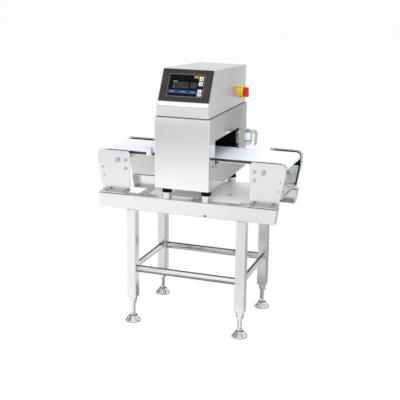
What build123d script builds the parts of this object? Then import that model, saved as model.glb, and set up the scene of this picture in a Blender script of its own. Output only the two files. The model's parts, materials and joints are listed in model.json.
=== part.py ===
from build123d import *
import math
import os

# Conveyor metal detector on a stand, in millimetres.
# +X is the way the belt carries the product, +Y runs from the operator's side to the back, +Z is up.
# The origin is on the floor under the centre of the detector head.

os.makedirs("parts", exist_ok=True)

# ---------------------------------------------------------------- driving dimensions
fit = 0.3            # gap between pieces that move past one another
seat = 0.1           # gap of a slip fit between pieces that stay together
shaft_fit = 0.05     # radial running clearance of a shaft in its bore

# Conveyor line
line_y = -26         # centre line of the conveyor and the stand, in front of the head's centre
belt_top = 800       # carrying height
belt_width = 250
belt_thickness = 2
nose_x = 420         # axis of each nose roller from the centre
nose_radius = 18     # inner radius of the belt round the nose
drum_radius = 38     # inner radius of the belt round the drums
drum_z = 715
snub_radius = 9
snub_x = 300
return_top = 785     # top of the returning strand
bed_thickness = 8
bed_inset = 6.5      # how far the bed's edge lies inside the belt's
bed_to_nose = 20     # from the bed's end to the nose roller's axis
roller_inset = 1     # the same for the ends of every roller
drum_wall = 4
nose_shaft_radius = 5
drum_shaft_radius = 10
snub_shaft_radius = 4

# Stand
rail_top = 612
rail_height = 68
rail_depth = 45
rail_wall = 3
rail_length = 842    # along the top
rail_rake = 11       # how far each end leans in at the bottom
rail_bend = 4        # outer radius of the rail's folds
spacer_height = 3    # cleaning gap under everything that is bolted onto the rails' ends
spacer_radius = 10
leg_side = 45
leg_wall = 3
leg_pitch = 522      # between leg centres along X
leg_bottom = 120
stretcher_side = 25
stretcher_wall = 2
stretcher_z = 258
cross_width = 60
cross_height = 30
cross_wall = 3

# Levelling feet
stem_radius = 10
stem_top = 190
collar_radius = 18
collar_height = 20
plug_depth = 30
nut_flats = 30
nut_height = 12
foot_radius = 36
foot_height = 26

# Detector head
head_width = 255     # along X
head_depth = 566     # along Y
head_bottom = 672
head_top = 991
head_wall = 3
lid_thickness = 2
aperture_width = 360
aperture_height = 107
aperture_bottom = 780
return_depth = 14    # how far the aperture's folded edge reaches inward
return_wall = 2
liner_wall = 4
former_wall = 12
former_half = 80
coil_size = 8
coil_pitch = 55
standoff_radius = 21
standoff_height = 29
standoff_x = 92.5
board_length = 180
supply_length, supply_width, supply_height = 160, 90, 42
supply_margin = 20
upstand_set_back = 78
upstand_height = 34
screw_height = 22
gland_places = (98, 53)   # from the cover's back
gland_height = 51.5

# Electronics enclosure above the head
cover_step_x = 7.5   # how far the cover stands inside the head's sides
cover_step_y = 5     # and inside its front and back
cover_wall = 2
gasket_height = 2.5
strip_top = 1039     # top of the upright front strip
face_top = 1194      # top of the sloping face
face_top_y = -195
cover_back = 1172    # height of the top at the back
bezel_margin = 4.5   # cover left bare at each side of the bezel
bezel_low = 23.5     # distances up the sloping face
bezel_high = 173
bezel_thickness = 3
panel_half = 85.2
panel_low = 43.7
panel_high = 152
screen_half = 78
screen_low = 50
screen_high = 145.5

# Main switch on the enclosure's right side
switch_from_back = 90
switch_z = 1052
switch_radius = 28
switch_depth = 16
handle_depth = 24
handle_length = 46

# Signal beacon
beacon_reach = 43.5  # from the head's side
beacon_radius = 21
body_gap = 8         # under the bracket
body_height, ring_height, lens_height = 38, 4, 22
hood_reach = 84.5
hood_height = 70
hood_half = 25
hood_tab = 16        # fold that is bolted to the head
hood_wall = 2
hood_below_aperture = 11

# Conveyor ends
plate_thickness = 4
plate_inner = 163    # support plate's inner face from the conveyor line
plate_top = 804
bearing_thickness = 8
ear_thickness = 2
bolt_m12 = (345.5, 760)
bolts_m8 = ((305.5, 761), (305.5, 723))
bolts_m5 = ((421, 722), (414, 682))
flange_bolts = (305, 390)
plate_near = 284     # support plate's edges from the centre
plate_far = 444
plate_foot_far = 419
waist_high = 752     # between these heights the far edge leans
waist_low = 634

# Bearing plates, inside the support plates
bearing_nose = 14    # radius round the nose roller's axis
bearing_set_in = 5   # from the support plate's near edge
bearing_slope = 21   # run of the sloping top corner beside the snub roller
bearing_low = 642    # bottom of the driven pair
bearing_low_far = 418
bearing_waist = 730
tail_low = 742       # bottom of the other pair
tail_low_far = 434
tail_waist = 752
bearing_corner = (11, 18)

# ---------------------------------------------------------------- worked-out places
front, back = -1, 1
left, right = -1, 1
corners = {
    "front_left": (left, front),
    "front_right": (right, front),
    "rear_left": (left, back),
    "rear_right": (right, back),
}
rail_bottom = rail_top - rail_height
lid_top = head_top
cover_bottom = lid_top + gasket_height
cover_half_x = head_width / 2 - cover_step_x
cover_half_y = head_depth / 2 - cover_step_y
bezel_half = cover_half_x - bezel_margin
switch_y = cover_half_y - switch_from_back
standoff_top = rail_top + standoff_height
bearing_inner = plate_inner - bearing_thickness
bearing_edge = nose_x + bearing_nose
bed_half_length = nose_x - bed_to_nose
ear_outer = bearing_inner
ear_inner = ear_outer - ear_thickness
plate_outer = plate_inner + plate_thickness
rail_edge = plate_outer                # the plates' outer faces stand over the rails' inner edges
stand_half = rail_edge + rail_depth    # rail's outer face from the conveyor line
rail_mid = stand_half - rail_depth / 2
leg_mid = stand_half - leg_side / 2

foot_low = rail_top + spacer_height
foot_top = foot_low + plate_thickness

half_belt_width = belt_width / 2
bed_half_width = half_belt_width - bed_inset
roller_half = half_belt_width - roller_inset
belt_inner = belt_top - belt_thickness
nose_z = belt_inner - nose_radius
snub_z = return_top - belt_thickness - snub_radius


# ---------------------------------------------------------------- building blocks
def block(x0, x1, y0, y1, z0, z1):
    """Box between two corners, given in any order."""
    size = (abs(x1 - x0), abs(y1 - y0), abs(z1 - z0))
    return Pos((x0 + x1) / 2, (y0 + y1) / 2, (z0 + z1) / 2) * Box(*size)


def rod_x(x0, x1, y, z, radius):
    """Cylinder along X."""
    low = min(x0, x1)
    return Pos(low, y, z) * Rot(0, 90, 0) * Cylinder(radius, abs(x1 - x0), align=BASE)


def rod_y(y0, y1, x, z, radius):
    """Cylinder along Y."""
    low = min(y0, y1)
    return Pos(x, low, z) * Rot(-90, 0, 0) * Cylinder(radius, abs(y1 - y0), align=BASE)


def rod_z(z0, z1, x, y, radius):
    """Upright cylinder."""
    return Pos(x, y, min(z0, z1)) * Cylinder(radius, abs(z1 - z0), align=BASE)


BASE = (Align.CENTER, Align.CENTER, Align.MIN)


def prism_y(outline, y0, y1):
    """Solid between two Y planes, on an outline of (x, z) points."""
    face = make_face(Polyline(*[(x, 0, z) for x, z in outline], close=True))
    return Pos(0, min(y0, y1), 0) * extrude(face, amount=abs(y1 - y0), dir=(0, 1, 0))


def prism_x(outline, x0, x1):
    """Solid between two X planes, on an outline of (y, z) points."""
    face = make_face(Polyline(*[(0, y, z) for y, z in outline], close=True))
    return Pos(min(x0, x1), 0, 0) * extrude(face, amount=abs(x1 - x0), dir=(1, 0, 0))


def turned(profile):
    """Solid of revolution about Z, on a profile of (radius, z) points."""
    face = make_face(Polyline(*[(r, 0, z) for r, z in profile], close=True))
    return revolve(face, axis=Axis.Z)


def hex_prism(flats, height):
    """Hexagonal nut or bolt head standing on the XY plane."""
    return extrude(RegularPolygon(flats / 2, 6, major_radius=False), amount=height)


def bolt(flats, head, radius, length):
    """Hexagon bolt: head above the XY plane, shank below it."""
    return hex_prism(flats, head) + rod_z(-length, 0, 0, 0, radius)


def facing(side):
    """Turns something that stands up along Z until it points along +Y or -Y."""
    return Rot(-90 * side, 0, 0)


def mirrored(solid, side):
    """A right-hand piece as it is, or its mirror image on the left."""
    return solid if side == right else mirror(solid, about=Plane.YZ)


def line(offset):
    """Y of something that lies so far from the conveyor line."""
    return line_y + offset


def save(name, *solids):
    """Writes one node, with its separate solids side by side."""
    pieces = [piece for solid in solids for piece in solid.solids()]
    node = pieces[0] if len(pieces) == 1 else Compound(children=pieces)
    export_step(node, f"parts/{name}.step")


# ---------------------------------------------------------------- stand
def rail(side):
    """Folded channel that opens inward, with raked and closed ends."""
    half = rail_length / 2
    outline = [
        (-half, rail_top), (half, rail_top),
        (half - rail_rake, rail_bottom), (-half + rail_rake, rail_bottom),
    ]
    outer, inner = line(side * stand_half), line(side * rail_edge)
    channel = prism_y(outline, outer, inner)
    folds = channel.edges().filter_by(Axis.X).sort_by(lambda edge: side * edge.center().Y)[-2:]
    channel = fillet(folds, rail_bend)
    hollow = offset(make_face(Polyline(*[(x, 0, z) for x, z in outline], close=True)),
                    amount=-rail_wall, kind=Kind.INTERSECTION)
    depth = rail_depth - rail_wall
    cavity = extrude(hollow, amount=depth, dir=(0, side, 0))
    channel -= Pos(0, inner, 0) * cavity
    for x in flange_bolts:
        for end in (left, right):
            channel -= rod_z(rail_top - rail_wall, rail_top, end * x, line(side * rail_mid), m8_hole)
    return channel


m8_radius = 4
m8_hole = m8_radius + seat
drain_x = 96
drain_z = rail_bottom + 8

front_rail = rail(front)
drain = Pos(drain_x, line(-stand_half), drain_z) * Rot(90, 0, 0)
front_rail -= drain * extrude(SlotOverall(15, 7), amount=rail_wall, both=True)
save("front_rail", front_rail)
save("rear_rail", rail(back))


def square_tube(side, wall, length, corner):
    """Square tube along Z."""
    inner = side - 2 * wall
    ring = RectangleRounded(side, side, corner)
    ring -= RectangleRounded(inner, inner, max(corner - wall, 0.5))
    return extrude(ring, amount=length)


for name, (end, side) in corners.items():
    leg = square_tube(leg_side, leg_wall, rail_bottom - leg_bottom, 5)
    save(f"leg_{name}", Pos(end * leg_pitch / 2, line(side * leg_mid), leg_bottom) * leg)

# The lower stretchers stand on an edge, so that nothing settles on them
long_bar = square_tube(stretcher_side, stretcher_wall, leg_pitch - leg_side, 2)
short_bar = square_tube(stretcher_side, stretcher_wall, 2 * leg_mid - leg_side, 2)
long_start = -(leg_pitch - leg_side) / 2
short_start = line(-(leg_mid - leg_side / 2))
stretchers = [
    Pos(long_start, line(side * leg_mid), stretcher_z) * Rot(0, 90, 0) * Rot(0, 0, 45) * long_bar
    for side in (front, back)
]
stretchers += [
    Pos(end * leg_pitch / 2, short_start, stretcher_z) * Rot(-90, 0, 0) * Rot(0, 0, 45) * short_bar
    for end in (left, right)
]
save("stretchers", *stretchers)


# Cross members lie between the rails, and a bar on top of them carries the drip trays
def cross_member(x0):
    bar = block(x0, x0 + cross_width, line(-rail_edge), line(rail_edge),
                rail_top - cross_height, rail_top)
    return bar - block(x0 + cross_wall, x0 + cross_width - cross_wall, line(-rail_edge),
                       line(rail_edge), rail_top - cross_height, rail_top - cross_wall)


tray_start = -190
tray_joint = 51
tray_end = 290
tray_gap = 4
tray_bar_y = -99
tray_bar_width = 24
tray_lift = 6
tray_wall = 2
tray_bolt_pitch = 172
tray_bolts = [tray_start + 14 + n * tray_bolt_pitch for n in range(3)]
cross_starts = (
    tray_start - cross_width + 10,
    tray_joint - cross_width / 2,
    tray_end - cross_width + 10,
)
tray_bar = block(tray_start + tray_gap, tray_end - tray_gap,
                 tray_bar_y - tray_bar_width / 2, tray_bar_y + tray_bar_width / 2,
                 rail_top, rail_top + tray_lift)
for x in tray_bolts:
    tray_bar -= rod_z(rail_top, rail_top + tray_lift, x, tray_bar_y, m8_hole)
save("cross_members", *[cross_member(x) for x in cross_starts], tray_bar)


# Drip trays: level behind, with a front strip that falls towards the operator
tray_half = plate_inner - 1
tray_fall = 5


def tray(x0, x1):
    level = rail_top + tray_lift + tray_wall
    front_y, fold_y, rear_y = line(-tray_half), tray_bar_y - tray_bar_width / 2, line(tray_half)
    top = [(front_y, level - tray_fall), (fold_y, level), (rear_y, level)]
    sheet = prism_x(top + [(y, z - tray_wall) for y, z in reversed(top)], x0, x1)
    lips = block(x0, x1, rear_y - tray_wall, rear_y, rail_top, level)
    for x in (x0, x1 - tray_wall):
        lips += block(x, x + tray_wall, fold_y, rear_y, rail_top, level - tray_wall)
    lips -= block(x0, x1, fold_y, tray_bar_y + tray_bar_width / 2 + seat,
                  rail_top, rail_top + tray_lift)
    sheet += lips
    for x in tray_bolts:
        sheet -= rod_z(rail_top, level, x, tray_bar_y, m8_hole)
    return sheet


save("drip_trays", tray(tray_start, tray_joint - tray_gap / 2),
     tray(tray_joint + tray_gap / 2, tray_end))

# ---------------------------------------------------------------- levelling feet
nut_top = leg_bottom - collar_height
plug = Pos(0, 0, leg_bottom) * extrude(
    RectangleRounded(leg_side - 2 * leg_wall - 2 * seat, leg_side - 2 * leg_wall - 2 * seat, 1.9),
    amount=plug_depth)
plug += rod_z(nut_top, leg_bottom, 0, 0, collar_radius)
plug = chamfer(plug.edges().group_by(Axis.Z)[0], 1.5)
plug -= rod_z(nut_top, leg_bottom + plug_depth, 0, 0, stem_radius + shaft_fit)
lock_nut = Pos(0, 0, nut_top - nut_height) * hex_prism(nut_flats, nut_height)
lock_nut -= rod_z(nut_top - nut_height, nut_top, 0, 0, stem_radius + shaft_fit)

socket_depth = 4
flare_radius = 15
flare_low, flare_high = 5, 17   # above the foot
stem = turned([
    (0, foot_height - socket_depth), (flare_radius, foot_height - socket_depth),
    (flare_radius, foot_height + flare_low), (stem_radius, foot_height + flare_high),
    (stem_radius, stem_top - 2), (stem_radius - 2, stem_top), (0, stem_top),
])
foot_base = turned([
    (0, 0), (foot_radius, 0), (foot_radius, 4), (foot_radius - 2, 6),
    (flare_radius + 5, foot_height - 2), (flare_radius + 3, foot_height),
    (flare_radius + seat, foot_height), (flare_radius + seat, foot_height - socket_depth),
    (0, foot_height - socket_depth),
])
places = [Pos(end * leg_pitch / 2, line(side * leg_mid), 0) for end, side in corners.values()]
save("leg_plugs", *[place * plug for place in places])
save("lock_nuts", *[place * lock_nut for place in places])
for name, place in zip(corners, places):
    save(f"foot_{name}", place * stem, place * foot_base)

# ---------------------------------------------------------------- detector head
ap_front = line(-aperture_width / 2)
ap_back = line(aperture_width / 2)
ap_top = aperture_bottom + aperture_height
half_w = head_width / 2
half_d = head_depth / 2
wall_top = head_top - lid_thickness


def tunnel(grow, x0, x1):
    """The aperture's rectangle, grown all round, between two X planes."""
    return block(x0, x1, ap_front - grow, ap_back + grow, aperture_bottom - grow, ap_top + grow)


def upright_box(half_x, half_y, z0, z1, corner):
    return Pos(0, 0, z0) * extrude(RectangleRounded(2 * half_x, 2 * half_y, corner), amount=z1 - z0)


shell = upright_box(half_w, half_d, head_bottom, wall_top, 5)
shell = fillet(shell.edges().group_by(Axis.Z)[0], 2.5)
shell -= upright_box(half_w - head_wall, half_d - head_wall, head_bottom + head_wall, wall_top, 2)
liner_end = half_w - return_depth
shell -= tunnel(0, -half_w, half_w)
for end in (left, right):
    edge = tunnel(return_wall, end * (half_w - head_wall), end * liner_end)
    shell += edge - tunnel(0, -half_w, half_w)

stop_bolt_z = 775
stop_bolt_stand = 6
for end in (left, right):
    for side in (front, back):
        shell -= rod_x(end * (half_w - head_wall), end * half_w, line(side * leg_mid), stop_bolt_z,
                       m8_hole)
save("head_shell", shell)
save("aperture_liner", tunnel(liner_wall, -liner_end, liner_end) - tunnel(0, -half_w, half_w))

# Three coils wound in the grooves of a frame round the liner: one sends, two receive
former_in = liner_wall + seat
former_out = former_in + former_wall
former = tunnel(former_out, -former_half, former_half) - tunnel(former_in, -half_w, half_w)
coils = []
for n in (-1, 0, 1):
    groove = tunnel(former_out, n * coil_pitch - coil_size / 2, n * coil_pitch + coil_size / 2)
    former -= groove - tunnel(former_out - coil_size, -half_w, half_w)
    wound = coil_size / 2 - seat
    coil = tunnel(former_out - 1, n * coil_pitch - wound, n * coil_pitch + wound)
    coils.append(coil - tunnel(former_out - coil_size + seat, -half_w, half_w))
save("coil_former", former)
save("search_coils", *coils)

standoffs = []
pads = []
for end in (left, right):
    for side in (front, back):
        x, y = end * standoff_x, line(side * rail_mid)
        standoffs.append(rod_z(rail_top, standoff_top, x, y, standoff_radius))
        pads.append(Pos(x, y, 0) * turned([
            (0, standoff_top), (standoff_radius + 1, standoff_top),
            (standoff_radius + 1, standoff_top + 5), (standoff_radius - 3, head_bottom),
            (0, head_bottom),
        ]))
save("head_standoffs", *standoffs)
save("head_pads", *pads)

# Lid of the head, with upstands that the cover screws into and studs for the board
upstand_x = cover_half_x - 9
upstand_z = lid_top + upstand_height
upstand_front, upstand_back = upstand_set_back - cover_half_y, cover_half_y - 8
screw_z = lid_top + screw_height
screw_ys = (upstand_front + 17, upstand_back - 8)
screw_radius = 2
stud_height = 10
board_side_gap = 25
board_half_x = cover_half_x - board_side_gap
board_front = upstand_front + 10
board_back = board_front + board_length
board_thickness = 1.6
cable_slot = (-30, 30, 20, 60)   # hole in the lid for the coils' leads
lid = upright_box(half_w, half_d, wall_top, lid_top, 5)
lid -= block(*cable_slot, wall_top, lid_top)
for end in (left, right):
    strip = block(end * upstand_x, end * (upstand_x + cover_wall), upstand_front, upstand_back,
                  lid_top, upstand_z)
    for y in screw_ys:
        strip += rod_x(end * (upstand_x + cover_wall), end * (cover_half_x - cover_wall - seat), y,
                       screw_z, 2 * screw_radius)
        strip -= rod_x(end * upstand_x, end * cover_half_x, y, screw_z, screw_radius + shaft_fit)
    lid += strip
    for y in (board_front + 12, board_back - 12):
        lid += rod_z(lid_top, lid_top + stud_height, end * (board_half_x - 12), y, 3.5)
save("head_lid", lid)

gasket_out = cover_half_x - 1
gasket = upright_box(gasket_out, cover_half_y - 1, lid_top, cover_bottom, 3)
gasket -= upright_box(gasket_out - 5, cover_half_y - 6, lid_top, cover_bottom, 1)
save("seam_gasket", gasket)

# ---------------------------------------------------------------- electronics enclosure
cover_profile = [
    (-cover_half_y, cover_bottom), (-cover_half_y, strip_top), (face_top_y, face_top),
    (cover_half_y, cover_back), (cover_half_y, cover_bottom),
]


def cover_block(shrink, bend, bottom):
    """The cover's outer or inner form: its side profile with rounded bends, extruded along X."""
    outline = [(0, y, z) for y, z in cover_profile]
    face = make_face(Polyline(*outline, close=True))
    if shrink:
        face = offset(face, amount=-shrink, kind=Kind.INTERSECTION)
    upper = [v for v in face.vertices() if v.Z > cover_bottom + 10]
    face = fillet(upper, bend)
    half = cover_half_x - shrink
    solid = Pos(-half, 0, 0) * extrude(face, amount=2 * half, dir=(1, 0, 0))
    if bottom:
        rim = cover_half_y - shrink
        solid += block(-half, half, -rim, rim, cover_bottom, cover_bottom + 2 * shrink)
    return solid


slope = math.atan2(face_top_y + cover_half_y, face_top - strip_top)   # from upright
face_plane = Plane(
    origin=(0, -cover_half_y, strip_top),
    x_dir=(1, 0, 0),
    z_dir=(0, -math.cos(slope), math.sin(slope)),
)


def on_face(half_x, low, high, corner, below, above):
    """Rounded plate on the sloping face, from so far below its surface to so far above it."""
    plate = Pos(0, (low + high) / 2, -below) * extrude(
        RectangleRounded(2 * half_x, high - low, corner), amount=below + above)
    return face_plane * plate


cover = cover_block(0, 6, False)
rounded = [
    edge for end in (left, right)
    for edge in cover.faces().sort_by(Axis.X)[0 if end == left else -1].edges()
    if edge.center().Z > cover_bottom + 1
]
cover = fillet(rounded, 3)
cover -= cover_block(cover_wall, 4, True)
panel_depth = 38
panel_body_half = panel_half - 5
panel_body_low, panel_body_high = panel_low + 5, panel_high - 5
cover -= on_face(panel_body_half + 1, panel_body_low - 1, panel_body_high + 1, 2, 10, 10)
switch_shaft = 5
cover -= rod_x(cover_half_x - cover_wall, cover_half_x, switch_y, switch_z, switch_shaft + 3)
gland_radius = 10
gland_ys = [cover_half_y - place for place in gland_places]
gland_z = cover_bottom + gland_height
for y in gland_ys:
    cover -= rod_x(-cover_half_x, -cover_half_x + cover_wall, y, gland_z, gland_radius + seat)
for end in (left, right):
    for y in screw_ys:
        cover -= rod_x(end * (cover_half_x - cover_wall), end * cover_half_x, y, screw_z,
                       screw_radius + seat)
save("enclosure_cover", cover)

screws = []
for end in (left, right):
    for y in screw_ys:
        pin = rod_x(end * upstand_x, end * cover_half_x, y, screw_z, screw_radius)
        screws.append(pin + rod_x(end * cover_half_x, end * (cover_half_x + 2), y, screw_z, 4))
save("cover_screws", *screws)

# Display: a dark bezel round the touch panel, whose body goes through the sloping face
bezel = on_face(bezel_half, bezel_low, bezel_high, 3, 0, bezel_thickness)
bezel -= on_face(panel_half + seat, panel_low - seat, panel_high + seat, 6, 0, bezel_thickness)
save("display_bezel", bezel)
panel = on_face(panel_half, panel_low, panel_high, 6, 0, bezel_thickness + 1)
panel += on_face(panel_body_half, panel_body_low, panel_body_high, 1, panel_depth, 0)
glass_depth = 1.5
panel -= on_face(screen_half, screen_low, screen_high, 2, -(bezel_thickness + 1 - glass_depth), 5)
save("touch_panel", panel)
save("display_screen", on_face(screen_half - seat, screen_low + seat, screen_high - seat, 2,
                               -(bezel_thickness + 1 - glass_depth), bezel_thickness + 0.7))

board_top = lid_top + stud_height
save("control_board", block(-board_half_x, board_half_x, board_front, board_back,
                            board_top, board_top + board_thickness))
supply_x = 11 - upstand_x
supply_back = upstand_back - supply_margin
save("power_supply", block(supply_x, supply_x + supply_width, supply_back - supply_length,
                           supply_back, lid_top, lid_top + supply_height))

# Main switch: contact block inside, yellow rosette and red handle outside
switch_wall = cover_half_x - cover_wall
contact_depth, contact_half = 45, 22
shaft_reach = 12     # how far the shaft goes into the handle
contact = block(switch_wall - contact_depth, switch_wall, switch_y - contact_half,
                switch_y + contact_half, switch_z - contact_half, switch_z + contact_half)
shaft_tip = cover_half_x + switch_depth + shaft_reach
contact += rod_x(switch_wall, shaft_tip, switch_y, switch_z, switch_shaft)
save("switch_body", contact)


def turned_x(profile):
    """Solid of revolution about the switch's axis, on a profile of (radius, distance out) points."""
    return Pos(cover_half_x, switch_y, switch_z) * Rot(0, 90, 0) * turned(profile)


rosette = turned_x([
    (switch_shaft + 1, 0), (switch_radius, 0), (switch_radius, switch_depth - 4),
    (switch_radius - 4, switch_depth), (switch_shaft + 1, switch_depth),
])
save("switch_plate", rosette)
hub_start = switch_depth + fit
hub_height = 6
hub = turned_x([
    (switch_shaft + shaft_fit, hub_start), (switch_radius - 7, hub_start),
    (switch_radius - 8, hub_start + hub_height), (switch_shaft + shaft_fit, hub_start + hub_height),
])
grip_start = cover_half_x + hub_start
grip_end = cover_half_x + switch_depth + handle_depth
wide_end, narrow_end = 9, 6
grip = prism_x([
    (-wide_end, -handle_length / 2), (wide_end, -handle_length / 2),
    (narrow_end, handle_length / 2), (-narrow_end, handle_length / 2),
], grip_start, grip_end)
grip = fillet(grip.edges().filter_by(Axis.X), 4)
grip = chamfer(grip.faces().sort_by(Axis.X)[-1].edges(), 2)
grip = Pos(0, switch_y, switch_z) * grip
grip -= rod_x(grip_start, shaft_tip + fit, switch_y, switch_z, switch_shaft + shaft_fit)
save("switch_handle", hub + grip)

gland_inside, gland_body, gland_dome, gland_length = 8, 8, 20, 25
gland_bore, bore_floor = 5, 12
lock_flats, lock_height = 24, 4
glands = []
for y in gland_ys:
    gland = turned([
        (0, -gland_inside), (gland_radius, -gland_inside), (gland_radius, 0),
        (gland_radius + 3, 0), (gland_radius + 3, gland_body),
        (gland_radius + 1, gland_body + 1), (gland_radius + 1, gland_dome),
        (gland_radius - 2, gland_length), (gland_bore, gland_length),
        (gland_bore, bore_floor), (0, bore_floor),
    ])
    place = Pos(-cover_half_x, y, gland_z) * Rot(0, -90, 0)
    glands.append(place * gland)
    lock = hex_prism(lock_flats, lock_height)
    lock -= rod_z(0, lock_height, 0, 0, gland_radius + seat)
    glands.append(place * Pos(0, 0, -cover_wall - lock_height) * lock)
save("cable_glands", *glands)

# ---------------------------------------------------------------- signal beacon under its bracket
beacon_x = half_w + beacon_reach
beacon_y = ap_back + 6
hood_top = ap_top - hood_below_aperture
hood_out = half_w + hood_reach
hood_low = hood_top - hood_height
hood_foot = hood_top - hood_tab
hood_bend, hood_drop = 12, 14
body_top = hood_top - body_gap
ring_top = body_top - body_height
lens_top = ring_top - ring_height
lens_low = lens_top - lens_height
hood = prism_y([
    (half_w, hood_foot), (half_w, hood_top), (hood_out - hood_bend, hood_top),
    (hood_out, hood_top - hood_drop), (hood_out - 3, hood_low),
    (hood_out - 3 - hood_wall, hood_low), (hood_out - hood_wall, hood_top - hood_drop - 0.5),
    (hood_out - hood_bend - hood_wall / 2, hood_top - hood_wall),
    (half_w + hood_wall, hood_top - hood_wall), (half_w + hood_wall, hood_foot),
], beacon_y - hood_half, beacon_y + hood_half)
stud_radius = 5
hood -= rod_z(hood_top - hood_wall, hood_top, beacon_x, beacon_y, stud_radius + seat)
save("beacon_bracket", hood)
beacon = Pos(beacon_x, beacon_y, 0)
save("beacon_body", beacon * turned([
    (0, ring_top), (beacon_radius, ring_top), (beacon_radius, body_top - 3),
    (beacon_radius - 3, body_top), (0, body_top),
]))
ring = beacon * turned([
    (0, lens_top), (beacon_radius - 1, lens_top), (beacon_radius - 1, ring_top), (0, ring_top)])
stud = rod_z(body_top, hood_top, beacon_x, beacon_y, stud_radius)
stud += rod_z(body_top, hood_top - hood_wall, beacon_x, beacon_y, stud_radius + 4)
stud += Pos(beacon_x, beacon_y, hood_top) * hex_prism(16, 5)
save("beacon_mount", ring, stud)
save("beacon_lens", beacon * turned([
    (0, lens_low), (beacon_radius - 9, lens_low), (beacon_radius - 4, lens_low + 3),
    (beacon_radius - 2, lens_top), (0, lens_top),
]))

# ---------------------------------------------------------------- belt path
# The belt goes round a nose roller at each end. At the right it then falls at 45 degrees to the
# drive drum. At each end a snub roller outside the loop lifts it to the level of the return.
diagonal = math.sqrt(2)
drum_x = drum_z + (nose_x - nose_z) + diagonal * (nose_radius - drum_radius)
nose_at, drum_at, snub_at = (nose_x, nose_z), (drum_x, drum_z), (snub_x, snub_z)
quarter = math.pi / 2


def heading(start, radius):
    """Direction of the strand that rises from under one roller over the snub roller."""
    run, climb = snub_x - start[0], snub_z - start[1]
    wrap = radius + snub_radius + belt_thickness
    return math.atan2(climb, run) % (4 * quarter) - math.asin(wrap / math.hypot(run, climb))


def polar(center, radius, angle):
    return (center[0] + radius * math.cos(angle), center[1] + radius * math.sin(angle))


def arc(center, radius, start, end):
    """Arc in the XZ plane from one polar angle to another."""
    a, m, b = (polar(center, radius, t) for t in (start, (start + end) / 2, end))
    return ThreePointArc((a[0], 0, a[1]), (m[0], 0, m[1]), (b[0], 0, b[1]))


def half_loop(out, driven):
    """One half of the belt's path at +X, so far outside its inner surface."""
    last, radius = (drum_at, drum_radius) if driven else (nose_at, nose_radius)
    rise = heading(last, radius)
    leave = rise - 3 * quarter
    if driven:
        arcs = [arc(nose_at, nose_radius + out, quarter, -quarter / 2),
                arc(drum_at, drum_radius + out, -quarter / 2, leave)]
    else:
        arcs = [arc(nose_at, nose_radius + out, quarter, leave)]
    arcs.append(arc(snub_at, snub_radius + belt_thickness - out, rise - quarter, quarter))
    path = [Line((0, 0, belt_inner + out), arcs[0] @ 0)]
    for here, following in zip(arcs, arcs[1:]):
        path += [here, Line(here @ 1, following @ 0)]
    return path + [arcs[-1], Line(arcs[-1] @ 1, (0, 0, return_top - out))]


def belt_loop(out, y0, y1):
    """Everything inside the belt's path, between two Y planes."""
    path = half_loop(out, True)
    path += [edge.mirror(Plane.YZ) for edge in half_loop(out, False)]
    face = make_face(Wire(path))
    return Pos(0, y0, 0) * extrude(face, amount=y1 - y0, dir=(0, 1, 0))


belt = belt_loop(belt_thickness, line(-half_belt_width), line(half_belt_width))
belt -= belt_loop(0, line(-half_belt_width), line(half_belt_width))
save("belt", belt)

bed_top = belt_inner - seat
bed_low = bed_top - bed_thickness
bed = block(-bed_half_length, bed_half_length, line(-bed_half_width), line(bed_half_width),
            bed_low, bed_top)
bed = chamfer(bed.edges().filter_by(Axis.Y), 2)
save("slider_bed", bed)


# ---------------------------------------------------------------- rollers
def roller(x, z, radius, bore, crown):
    """Roller on a fixed shaft, a little thinner towards its ends."""
    flat = roller_half / 3
    body = turned([
        (bore, -roller_half), (radius - crown, -roller_half), (radius, -flat),
        (radius, flat), (radius - crown, roller_half), (bore, roller_half),
    ])
    return Pos(x, line_y, z) * Rot(-90, 0, 0) * body


def drum(x, z):
    """Hollow drum with an end cap at each side, turning on a fixed shaft."""
    radius = drum_radius - fit
    inner = radius - drum_wall
    cap = roller_half - 12
    flat = roller_half / 3
    bore = drum_shaft_radius + shaft_fit
    body = turned([
        (bore, -roller_half), (radius - 0.5, -roller_half), (radius, -flat), (radius, flat),
        (radius - 0.5, roller_half), (bore, roller_half), (bore, cap), (inner - 0.5, cap),
        (inner - 0.5, -cap), (bore, -cap),
    ])
    return Pos(x, line_y, z) * Rot(-90, 0, 0) * body


nose = roller(nose_x, nose_z, nose_radius - fit, nose_shaft_radius + shaft_fit, 0.3)
snub = roller(snub_x, snub_z, snub_radius - fit, snub_shaft_radius + shaft_fit, 0.2)
save("nose_roller_right", nose)
save("nose_roller_left", mirrored(nose, left))
save("snub_roller_right", snub)
save("snub_roller_left", mirrored(snub, left))
save("drive_drum", drum(drum_x, drum_z))

shaft_end = plate_inner
shafts = []
for end in (left, right):
    for x, z, radius in ((nose_x, nose_z, nose_shaft_radius), (snub_x, snub_z, snub_shaft_radius)):
        shafts.append(rod_y(line(-shaft_end), line(shaft_end), end * x, z, radius))
save("roller_shafts", *shafts)

# The drive is a gear motor inside the drum: it hangs on its own fixed shaft
motor_half = 80
motor_radius = drum_radius - drum_wall - 6
motor = rod_y(line(-shaft_end), line(shaft_end), drum_x, drum_z, drum_shaft_radius)
motor += rod_y(line(-motor_half), line(motor_half / 3), drum_x, drum_z, motor_radius)
motor += rod_y(line(motor_half / 3), line(motor_half), drum_x, drum_z, motor_radius - 4)
save("drum_motor", motor)

# ---------------------------------------------------------------- conveyor ends
bearing_top = belt_inner
bearing_side = plate_near + bearing_set_in
snub_wall = 8        # plastic above the snub roller's axis


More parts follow.
